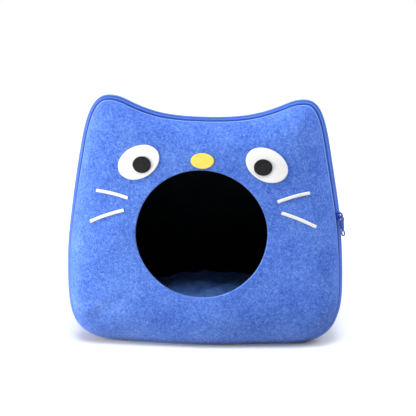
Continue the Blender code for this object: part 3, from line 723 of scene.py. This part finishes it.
def zip_tapes():
    rows = slot_rows(3 * GAP)
    near, far = FELT + TAPE_CLEARANCE, FELT + TAPE_CLEARANCE + TAPE
    rise = (near - COIL_DEPTH - COIL_HEIGHT - GAP) * SLOTS / SLOT
    bend = SLOTS * (1 - TAPE_BEND / SLOT)
    under = panel_normals(FRONT.outer_points(rings(10, True)), -1, -1)[:, 6]
    inward = FRONT.outer_points((0.0, 0.07))[:, 1] - FELT * under - front_edge(SLOTS, FELT)
    edge = front_edge(SLOTS, FELT) + TAPE_UNDER_FELT * unit(inward)

    def over_slot(depth):
        risen = front_edge(bend, depth - TAPE_BEND_RISE * rise)
        return [front_edge(COIL_LINE + GAP, depth - rise), risen, front_edge(SLOTS, depth)]

    def round_lip(depth):
        lip = [front_lip(share, depth) for share in (1.0, 0.5, 0.0)]
        return [front_edge(COIL_LINE - GAP, depth - rise), *lip, place(-depth, TAPE_PAST_LIP)]

    tucked = [edge - (TAPE_CLEARANCE + deeper) * under for deeper in (TAPE_SLACK, TAPE)]
    tapes = {
        "tape_front": over_slot(near) + tucked + over_slot(far)[::-1],
        "tape_rear": round_lip(near) + round_lip(far)[::-1],
    }
    made = []
    for name, lines in tapes.items():
        mesh = loft(name, settle(np.stack(lines, axis=1)[rows]), closed=False)
        made.append(add_piece(mesh, TAPE_CLOTH, ["zip_" + name], 35))
    return made


def along_slot(across, depth, rows):
    return settle(front_edge(across, depth))[rows]


def zip_coil():
    """The closed coil: two rows of nylon loops that lock along the middle, and the cord under them."""
    rows = slot_rows((COIL_WIDTH / 2 + 2 * GAP) / COIL_PLACE)
    depth = COIL_DEPTH + COIL_WIRE
    middle = along_slot(COIL_LINE, depth, rows)
    length = arc_length(middle)
    count = 2 * int(length[-1] / COIL_PITCH)
    at = (np.arange(count) + 0.5) * length[-1] / count
    centre = sample(middle, length, at)
    across = unit(sample(along_slot(COIL_LINE - 0.001, depth, rows) - middle, length, at))
    down = unit(sample(along_slot(COIL_LINE, depth + 0.001, rows) - middle, length, at))
    along = np.cross(across, down)
    side = np.where(np.arange(count) % 2, 1.0, -1.0)[:, None]
    loop = np.array(COIL_LOOP) * (0.001, 0.001, COIL_WIRE)
    tubes = []
    for (out, deep, radius), (t_out, t_deep) in zip(loop, unit(np.gradient(loop[:, :2], axis=0))):
        point = centre + side * out * across + deep * down
        square = t_out * down - t_deep * side * across
        tubes.append(point[:, None] + radius * circles(COIL_SIDES, along, square))
    add_piece(merged("coil", np.stack(tubes, axis=1)), COIL_NYLON, ["zip_coil"], 80)
    half, low, high = COIL_WIDTH * CORD_BREADTH, COIL_DEPTH + CORD_TOP, COIL_DEPTH + COIL_HEIGHT
    foot, bevel = half * 0.4, low + CORD_BEVEL
    corners = ((half, high), (-half, high), (-half, bevel), (-foot, low), (foot, low), (half, bevel))
    sections = np.stack([along_slot(COIL_LINE + a, d, rows) for a, d in corners], axis=1)
    add_piece(loft("coil_cord", sections, False), TAPE_CLOTH)


def slider_frame():
    """The matrix from the slider's own axes: x across the zip towards the rear, y up along it, z out."""
    right = len(HALF_ROWS)
    surface = settle(front_edge(COIL_LINE))[:right]
    to_rear = settle(front_edge(COIL_LINE - 0.001))[:right] - surface
    at, above = sample(surface, surface[:, 2], (SLIDER_Z, SLIDER_Z + 0.01))
    across = Vector(sample(to_rear, surface[:, 2], SLIDER_Z)).normalized()
    out = across.cross(Vector(above - at)).normalized()
    turn = Matrix((across, out.cross(across), out)).transposed().to_4x4()
    return Matrix.Translation(at) @ turn


SLIDER_LENGTH = 0.0116
SLIDER_WIDTH = 0.0078
SLIDER_FOOT = -0.0026
SLIDER_TOP = 0.0018
SLIDER_PLATE = 0.0017
SLIDER_FLANGE = 0.0006
SLIDER_BEVEL = 0.00018
# Places along the slider as shares of its length from its middle, and how wide it is there
SLIDER_STATIONS = (
    *((-0.5, 0.80), (-0.42, 0.95), (-0.2, 0.97), (0.1, 0.93)),
    *((0.35, 1.0), (0.45, 0.97), (0.5, 0.86)),
)
BRIDGE_FOOT = SLIDER_TOP - 0.0004
BRIDGE_REACH = 0.0040
BRIDGE_HEIGHT = 0.0058
BRIDGE_WIRE = 0.0014
EYE_WIRE = 0.0010
EYE_RADIUS = 0.0031
EYE_STAND_OFF = 0.0003
# The pull's stem: up from the slider's middle, out from the felt, and its half thickness
STEM = (
    (-0.0066, 0.0066, 0.0013),
    (-0.0090, 0.0054, 0.0014),
    (-0.0150, 0.0050, 0.0014),
    (-0.0190, 0.0049, 0.0013),
    (-0.0212, 0.0051, 0.0011),
)
STEM_BROADENING = 2.4
STEM_TURN = math.radians(35)  # how far the stem hangs turned from the zip's face
LOOP_TOP, LOOP_BOTTOM = -0.0210, -0.0306
LOOP_HALF_WIDTH = 0.0028
LOOP_OUT = 0.0054
LOOP_WIRE = 0.0011


def add_metal(name, sections, matrix, closed=False, replaced=(), sharp=50):
    mesh = loft(name, sections, closed)
    mesh.transform(matrix)
    return add_piece(mesh, ZIP_METAL, replaced, sharp)


def slider_body():
    """A plate with tapered ends and two side flanges."""
    half, inner, flat = SLIDER_WIDTH / 2, SLIDER_WIDTH / 2 - SLIDER_FLANGE, SLIDER_WIDTH / 2 - 0.0007
    foot, under, side, top = SLIDER_FOOT, SLIDER_TOP - SLIDER_PLATE, SLIDER_TOP - 0.0004, SLIDER_TOP
    profile = ((-half, foot), (-half, side), (-flat, top), (flat, top), (half, side), (half, foot))
    profile += ((inner, foot), (inner, under), (-inner, under), (-inner, foot))
    sections = [[(x * wide, SLIDER_LENGTH * share, z) for x, z in profile] for share, wide in SLIDER_STATIONS]
    return np.array(sections)


def zip_slider(matrix):
    body = add_metal("slider", slider_body(), matrix, replaced=["zip_slider"], sharp=40)
    bevel = body.modifiers.new("soft edges", "BEVEL")
    bevel.width = SLIDER_BEVEL
    bevel.segments = 2
    turns = np.linspace(0, math.pi, 25)
    arch = [(0, BRIDGE_REACH * math.cos(t), BRIDGE_FOOT + BRIDGE_HEIGHT * math.sin(t)) for t in turns]
    wide = 1 + 0.35 * np.abs(np.cos(turns)) ** 4
    add_metal("slider_bridge", tube_sections(arch, BRIDGE_WIRE * wide, 14), matrix)


def zip_pull(matrix):
    """The ring over the bridge, the stem that hangs from it, and the teardrop loop at its end."""
    shoulder = math.radians(135)
    outward = np.array([0, math.cos(shoulder), math.sin(shoulder)])
    bridge = np.array([0, BRIDGE_REACH, BRIDGE_HEIGHT]) * outward + (0, 0, BRIDGE_FOOT)
    centre = bridge + EYE_STAND_OFF * outward
    ring = centre + EYE_RADIUS * circles(40, outward[None], np.array([[1.0, 0.0, 0.0]]))[0]
    top = centre + EYE_RADIUS * outward
    turned = np.array([math.cos(STEM_TURN), 0, math.sin(STEM_TURN)])
    knots = np.array([(top[1], top[2], EYE_WIRE), *STEM])
    stem = sample(knots, np.arange(len(knots)), np.linspace(0, len(knots) - 1, 30))
    for _ in range(4):
        stem[1:-1] = (stem[:-2] + 2 * stem[1:-1] + stem[2:]) / 4
    thick = stem[:, 2]
    stem = np.column_stack([0 * thick, stem[:, :2]])
    turns = np.arange(40) * math.tau / 40
    up = LOOP_TOP + (LOOP_BOTTOM - LOOP_TOP) * (1 - np.cos(turns)) / 2
    out = LOOP_OUT + LOOP_HALF_WIDTH * np.sin(turns) * np.abs(np.sin(turns / 2)) ** 0.8
    loop = np.column_stack([0 * up, up, out])
    add_metal("pull_ring", tube_sections(ring, EYE_WIRE, 12, closed=True), matrix, True, ["zip_pull"])
    add_metal("pull_stem", tube_sections(stem, thick, 16, normal=turned, broad=STEM_BROADENING), matrix)
    add_metal("pull_loop", tube_sections(loop, LOOP_WIRE, 12, closed=True), matrix, True)


# ---- sewing


STITCH_PITCH = 0.0042
STITCH_LENGTH = 0.0031
THREAD_RADIUS = 0.00028
THREAD_SIDES = 6
# A stitch's bow: shares of its length from its middle, and heights in radii of the thread
STITCH_BOW = ((-0.5, -0.8), (-0.40, 0.1), (-0.2, 0.75), (0.0, 0.95), (0.2, 0.75), (0.40, 0.1), (0.5, -0.8))
PANEL_SEAM = 0.0042  # from a panel's rim
GUSSET_SEAM = 0.0022  # behind the start of its lip
REAR_SEAM = 0.30  # share of the rear lip
SEAM_END_Z = 0.012


def sew(name, path, lift, rows):
    """Short stitches with their ends in the felt, along a path that is given before the body settles."""
    high = settle(path + 0.001 * lift)[rows]
    path = settle(path)[rows]
    at = arc_length(path)
    count = int(at[-1] / STITCH_PITCH)
    middles = (np.arange(count) + 0.5) * at[-1] / count
    along = unit(sample(path, at, middles + 0.001) - sample(path, at, middles - 0.001))
    lift = unit(sample(high - path, at, middles))
    ring = circles(THREAD_SIDES, np.cross(along, lift), lift)
    tubes = []
    for share, height in STITCH_BOW:
        point = sample(path, at, middles + share * STITCH_LENGTH) + height * THREAD_RADIUS * lift
        tubes.append(point[:, None] + THREAD_RADIUS * ring)
    add_piece(merged(name, np.stack(tubes, axis=1)), THREAD, (), 80)


def panel_seam(form, sign):
    """A path beside a panel's rim, with its outward directions."""
    outer = form.outer_points(np.concatenate([[0], np.linspace(0.01, 0.3, 60)]))
    far = ring_distances(outer)["first"]
    grids = (outer, panel_normals(outer, sign, 20))
    return [np.stack([sample(line, at, PANEL_SEAM) for line, at in zip(grid, far)]) for grid in grids]


def sewing():
    zipped = slot_rows(SLOT * 0.5)
    above_floor = np.flatnonzero(SPOT[:, 1] > SEAM_END_Z)
    rear = rear_lip(REAR_SEAM, 0.0)
    sew("stitches_front", *panel_seam(FRONT, -1), zipped)
    sew("stitches_gusset", place(0, LIP_START + GUSSET_SEAM), place(1, 0) - place(0, 0), zipped)
    sew("stitches_rear", rear, rear - rear_lip(REAR_SEAM, 0.001), above_floor)
    sew("stitches_back", *panel_seam(BACK, 1), above_floor)


# ---- face

OVAL_ROUNDING = 0.0007
OVAL_WAVER = 0.0011  # as a share of its size


def on_front(x, z, lift):
    """Points this far out from the front's surface."""
    step = 0.0005
    x, z = np.asarray(x, float), np.asarray(z, float)
    y = FRONT.y_at(x, z)
    across = (FRONT.y_at(x + step, z) - FRONT.y_at(x - step, z)) / (2 * step)
    up = (FRONT.y_at(x, z + step) - FRONT.y_at(x, z - step)) / (2 * step)
    normal = unit(np.stack([across, -np.ones_like(across), up], axis=-1))
    return np.stack([x, y, z], axis=-1) + np.reshape(lift, (-1,) * (np.ndim(lift) > 0) + (1,)) * normal


def oval(name, centre, axes, tilt, lift, thickness, seed):
    """A flat oval of felt that follows the panel, its cut edge rounded and a little uneven."""
    turn = np.arange(96) * math.tau / 96
    lean = math.radians(tilt)
    rng = np.random.default_rng(seed)
    waves = [rng.normal(0, OVAL_WAVER) * np.sin(k * turn + rng.uniform(0, math.tau)) for k in (3, 5, 8, 13)]
    profile = [(0.0, 1.0), (0.3, 1.0), (0.6, 1.0), (0.85, 1.0)]
    for angle in np.linspace(0, math.pi / 2, 5):
        inset, drop = OVAL_ROUNDING * (1 - math.sin(angle)), OVAL_ROUNDING * (1 - math.cos(angle))
        profile.append((1 - inset / min(axes), 1 - drop / thickness))
    profile += [(1.0, 0.12), (0.985, 0.0), (0.6, 0.0), (0.0, 0.0)]
    sections = []
    for size, top in profile:
        reach = size * (1 + sum(waves) * size)
        along, over = axes[0] * reach * np.cos(turn), axes[1] * reach * np.sin(turn)
        x = centre[0] + along * math.cos(lean) - over * math.sin(lean)
        z = centre[1] + along * math.sin(lean) + over * math.cos(lean)
        sections.append(on_front(x, z, lift + thickness * top))
    return loft(name, settle(np.stack(sections, axis=1)), closed=True)


def whisker(name, ends):
    """A strip of felt from its inner to its outer end, bowed a little upward, its upper edges rounded."""
    inner, outer = np.array(ends[:2]), np.array(ends[2:])
    along = unit(outer - inner)
    over = np.array([-along[1], along[0]]) * np.sign(along[0])
    share = np.linspace(0, 1, 24)[:, None]
    middle = inner + share * (outer - inner) + WHISKER_BOW * 4 * share * (1 - share) * over
    half = WHISKER_WIDTH / 2
    high = FACE_LIFT + WHISKER_FELT
    right = [(half, FACE_LIFT), (half, high - 0.0006), (half - 0.0002, high - 0.0002), (half - 0.0006, high)]
    profile = [*right, (0, high), *((-across, height) for across, height in reversed(right))]
    lines = [on_front(*(middle + across * over).T, height) for across, height in profile]
    return loft(name, settle(np.stack(lines, axis=1)), closed=False)


def face():
    made = []
    on_eye = FACE_LIFT + FACE_FELT + GAP
    for side, name in ((-1, "left"), (1, "right")):
        eye, pupil = (side * EYE_X, EYE_Z), (side * PUPIL_X, PUPIL_Z)
        mesh = oval("white_" + name, eye, EYE_AXES, -side * EYE_TILT, FACE_LIFT, FACE_FELT, 40 + side)
        made.append(add_piece(mesh, WHITE_FELT, ["eye_white_" + name]))
        mesh = oval("black_" + name, pupil, PUPIL_AXES, 0, on_eye, PUPIL_FELT, 50 + side)
        made.append(add_piece(mesh, BLACK_FELT, ["pupil_" + name]))
    mesh = oval("yellow_nose", (0, NOSE_Z), NOSE_AXES, 0, FACE_LIFT, FACE_FELT, 60)
    made.append(add_piece(mesh, YELLOW_FELT, ["nose"]))
    for name, ends in WHISKERS.items():
        mesh = whisker("strip_" + name, ends)
        made.append(add_piece(mesh, WHITE_FELT, ["whisker_" + name]))
    return made


# ---- cushion

CUSHION_SQUARENESS = 3.4
CUSHION_FOLDS = ((0.0022, 0.045, 71), (0.0009, 0.018, 72))  # height, wavelength and seed
SWELL_CAP = 0.0025
SWELL_FRAMES = 20
SWELL_PRESSURE = 4.0
SWELL_START = 0.955  # how high the cushion starts, as a share of its form's height
CLOTH_GRID = 0.005


def cushion_ring(size):
    """x and y round the cushion's outline when it is shrunk to this size."""
    turn = np.arange(120) * math.tau / 120
    power = CUSHION_SQUARENESS
    reach = (np.abs(np.cos(turn)) ** power + np.abs(np.sin(turn)) ** power) ** (-1 / power)
    reach *= size * (1 - 0.035 * np.abs(np.cos(2 * turn)) ** 3)
    return CUSHION_HALF_WIDTH * reach * np.cos(turn), CUSHION_HALF_DEPTH * reach * np.sin(turn)


def cushion_floor(x):
    """How low the cushion may lie on the gusset, which rises towards its lower corners."""
    return FELT + GAP + 2.6 * np.clip(np.abs(x) - 0.110, 0, None) ** 2


def cushion_top(x, y):
    """The lumps and hollows of the cushion's top, as shares of its crown's height."""
    near = 0.175 * np.exp(-(((x + 0.025) / 0.046) ** 2) - ((y + 0.044) / 0.021) ** 2)
    near_right = 0.14 * np.exp(-(((x - 0.056) / 0.032) ** 2) - ((y + 0.042) / 0.020) ** 2)
    off_roll = y + 0.088 - 0.36 * (x + 0.030)
    roll = 0.19 * np.exp(-((off_roll / 0.012) ** 2) - ((x + 0.004) / 0.060) ** 4)
    trough = -0.15 * np.exp(-(((y + 0.006 - 0.06 * x) / 0.022) ** 2))
    rear = 0.06 * np.exp(-(((x - 0.005) / 0.050) ** 2) - ((y - 0.050) / 0.035) ** 2)
    lower = 0.06 * smooth_step(y, -0.010, 0.030) + 0.14 * smooth_step(-x, 0.030, 0.100)
    return near + near_right + roll + trough + rear - lower


def cushion_start():
    """The cushion's form before it swells, a little smaller than the solid."""
    sizes = np.sin(np.linspace(0, math.pi / 2, 22))
    lines = []
    for size in sizes:
        x, y = cushion_ring(size)
        height = (1 - size**2.6) ** 0.62 + cushion_top(x, y) * (1 - size**4)
        lines.append(np.stack([x, y, CUSHION_SEAM_Z + CUSHION_CROWN * height], axis=-1))
    for size in sizes[-2::-1]:
        x, y = cushion_ring(size)
        drop = (CUSHION_SEAM_Z - FELT - GAP) * min((1 - size**6) ** 0.7 * 1.35, 1)
        lines.append(np.stack([x, y, np.maximum(CUSHION_SEAM_Z - drop, cushion_floor(x))], axis=-1))
    return np.stack(lines, axis=1)


def points_of(mesh):
    points = np.empty(len(mesh.vertices) * 3)
    mesh.vertices.foreach_get("co", points)
    return points.reshape(-1, 3)


def swell(piece):
    """Inflates the cushion's cloth for a few frames, and returns its points with their new folds."""
    remesh = piece.modifiers.new("even cloth", "REMESH")
    remesh.mode = "VOXEL"
    remesh.voxel_size = CLOTH_GRID
    graph = bpy.context.evaluated_depsgraph_get()
    mesh = bpy.data.meshes.new_from_object(piece.evaluated_get(graph))
    piece.modifiers.clear()
    piece.data = mesh
    start = points_of(mesh) * (1, 1, SWELL_START)
    mesh.vertices.foreach_set("co", start.ravel())
    cloth = piece.modifiers.new("cloth", "CLOTH")
    cloth.settings.use_pressure = True
    cloth.settings.uniform_pressure_force = SWELL_PRESSURE
    cloth.settings.effector_weights.gravity = 0.0
    cloth.point_cache.frame_start = 1
    cloth.point_cache.frame_end = SWELL_FRAMES
    for number in range(1, SWELL_FRAMES + 1):
        bpy.context.scene.frame_set(number)
    swollen = piece.evaluated_get(bpy.context.evaluated_depsgraph_get())
    move = points_of(swollen.to_mesh()) - start
    swollen.to_mesh_clear()
    piece.modifiers.clear()
    bpy.context.scene.frame_set(1)
    far = np.linalg.norm(move, axis=1, keepdims=True)
    return start + move * np.minimum(1, SWELL_CAP / np.maximum(far, 1e-9))


def cushion():
    mesh = loft("stuffed_cushion", cushion_start() * (0.985, 0.985, 1.0), True)
    piece = add_piece(mesh, CUSHION_CLOTH, ["cushion"], 180)
    points = swell(piece)
    mesh = piece.data
    upper = smooth_step(points[:, 2], CUSHION_SEAM_Z + 0.004, CUSHION_SEAM_Z + 0.02)
    points[:, 2] += upper * sum(height * ripple(points, *wave) for height, *wave in CUSHION_FOLDS)
    near_seam = np.exp(-(((points[:, 2] - CUSHION_SEAM_Z) / 0.007) ** 2))
    turn = np.arctan2(points[:, 1] / CUSHION_HALF_DEPTH, points[:, 0] / CUSHION_HALF_WIDTH)
    points[:, :2] *= (1 - near_seam * (0.012 + 0.006 * np.sin(turn * 46)))[:, None]
    points[:, 2] = np.maximum(points[:, 2], cushion_floor(points[:, 0]))
    mesh.vertices.foreach_set("co", points.ravel())
    mesh.materials.clear()
    mesh.materials.append(CUSHION_CLOTH)
    mesh.shade_smooth()
    finer = piece.modifiers.new("smoother", "SUBSURF")
    finer.levels = finer.render_levels = 1
    return piece


# ---- stage, light and camera

# The world's light from under the floor, from the horizon and from overhead
WORLD_LEVELS = (0.47, 0.50, 1.0)
WORLD_AMOUNTS = (1.0, 0.08, 0.32)
WORLD_TINT = (0.93, 0.96, 1.04)
CONTACT_Z = -0.0006
CONTACT_MARGIN = 0.014
FLOOR_SHADES = ((0.76, 0.76, 0.765), (0.80, 0.80, 0.80))


def contact_shade():
    """A dark sheet under the floor, which keeps the world's light from below off the felt's lowest edge."""
    across = np.linspace(-0.185, 0.185, 27)
    front = SIDE_Y + CORNER_BACK - BASE_BOW * base_bow(across) - CONTACT_MARGIN
    near = [(x, y, CONTACT_Z) for x, y in zip(across, front)]
    far = [(x, BACK_Y + CONTACT_MARGIN, CONTACT_Z) for x in across]
    count = len(across)
    faces = [(i, i + 1, count + i + 1, count + i) for i in range(count - 1)]
    mesh = bpy.data.meshes.new("contact_shade")
    mesh.from_pydata(near + far, [], faces)
    mesh.materials.append(plain("dark sheet", (0.01, 0.01, 0.012), 0.9))
    return link("contact_shade", mesh)


def studio():
    """A white studio: its walls look white, and light the scene only dimly beside the lamps."""
    bpy.context.scene.view_settings.view_transform = "Standard"
    world = bpy.context.scene.world = bpy.data.worlds.new("studio")
    world.use_nodes = True
    walls = Nodes(world.node_tree)
    way = walls.add("TexCoord").outputs["Generated"]
    height = walls.add("SeparateXYZ", Vector=way).outputs["Z"]
    level = walls.add("MapRange", From_Min=-1, Value=height).outputs["Result"]
    lit = walls.ramp(level, WORLD_LEVELS, np.outer(WORLD_AMOUNTS, WORLD_TINT))
    seen = walls.add("LightPath").outputs["Is Camera Ray"]
    strength = walls.add("Mix", i_0=seen, i_2=lit, i_3=1.0).outputs[0]
    walls.fill(world.node_tree.nodes["Background"], {"Color": (1, 1, 1, 1), "Strength": strength})
    pale = Shader("pale floor", Roughness=0.9)
    uneven = pale.ramp(pale.noise(pale.coords, 3.0), (0.3, 0.7), FLOOR_SHADES)
    pale.fill(pale.surface, {"Base Color": uneven})
    bpy.ops.mesh.primitive_plane_add(size=60)
    floor = bpy.context.object
    floor.name = "floor"
    floor.data.materials.append(pale.material)
    floor.visible_diffuse = False  # the felt gets its light from below from the world, which is dimmer
    contact_shade()


# Far soft lamps: the azimuth and elevation of their light, the angle that they fill, strength and colour.
# Azimuth 0 is in front of the part, and 90 at its right.
LIGHTS = {
    "key": (-78, 5, 50, 7.0, (1.0, 0.98, 0.93)),
    "front": (0, 68, 20, 1.8, (0.95, 0.975, 1.0)),
    "top": (0, 84, 50, 0.8, (0.95, 0.975, 1.0)),
    "right": (84, 44, 45, 2.3, (0.95, 0.975, 1.0)),
}

# A small lamp near the face's left side, which is brighter there than far lamps make it
NEAR_LAMP_AT = (-0.46, -0.46, 0.11)
NEAR_LAMP_AIM = (-0.14, -0.14, 0.17)
NEAR_LAMP_SIZE = 0.20
NEAR_LAMP_POWER = 1.3
NEAR_LAMP_COLOUR = (1.0, 0.94, 0.78)


def add_lamp(name, kind, strength, colour, at, aim):
    data = bpy.data.lights.new(name, kind)
    data.energy = strength
    data.color = colour
    lamp = link(name, data)
    lamp.location = at
    lamp.rotation_euler = (Vector(aim) - Vector(at)).to_track_quat("-Z", "Y").to_euler()
    return data


def near_lamp():
    data = add_lamp("near", "AREA", NEAR_LAMP_POWER, NEAR_LAMP_COLOUR, NEAR_LAMP_AT, NEAR_LAMP_AIM)
    data.shape = "DISK"
    data.size = NEAR_LAMP_SIZE


def lights():
    for name, (azimuth, elevation, spread, strength, colour) in LIGHTS.items():
        turn, lift = math.radians(azimuth), math.radians(elevation)
        aim = (-math.sin(turn) * math.cos(lift), math.cos(turn) * math.cos(lift), -math.sin(lift))
        data = add_lamp(name, "SUN", strength, colour, (0, 0, 0), aim)
        data.angle = math.radians(spread)


CAMERA_AT = (0.0989, -1.4644, 0.4400)
CAMERA_PAN = 3.914
CAMERA_DIP = 9.607
CAMERA_ROLL = -0.2
LENS = 78.5


def camera():
    data = bpy.data.cameras.new("camera")
    data.sensor_width = 36
    data.lens = LENS
    made = link("camera", data)
    pan, dip, roll = (math.radians(v) for v in (CAMERA_PAN, CAMERA_DIP, CAMERA_ROLL))
    ahead = Vector((-math.sin(pan) * math.cos(dip), math.cos(pan) * math.cos(dip), -math.sin(dip)))
    right = ahead.cross(Vector((0, 0, 1))).normalized()
    up = right.cross(ahead)
    right, up = right * math.cos(roll) + up * math.sin(roll), up * math.cos(roll) - right * math.sin(roll)
    turn = Matrix((right, up, -ahead)).transposed().to_4x4()
    made.matrix_world = Matrix.Translation(CAMERA_AT) @ turn
    bpy.context.scene.camera = made


# ---- whole


def main():
    near_lamp()
    camera()
    sewn_on = face()
    front = front_panel()
    side = gusset()
    back = back_panel()
    tape_front, tape_rear = zip_tapes()
    zip_coil()
    matrix = slider_frame()
    zip_slider(matrix)
    zip_pull(matrix)
    sewing()
    stuffed = cushion()
    studio()
    lights()


main()
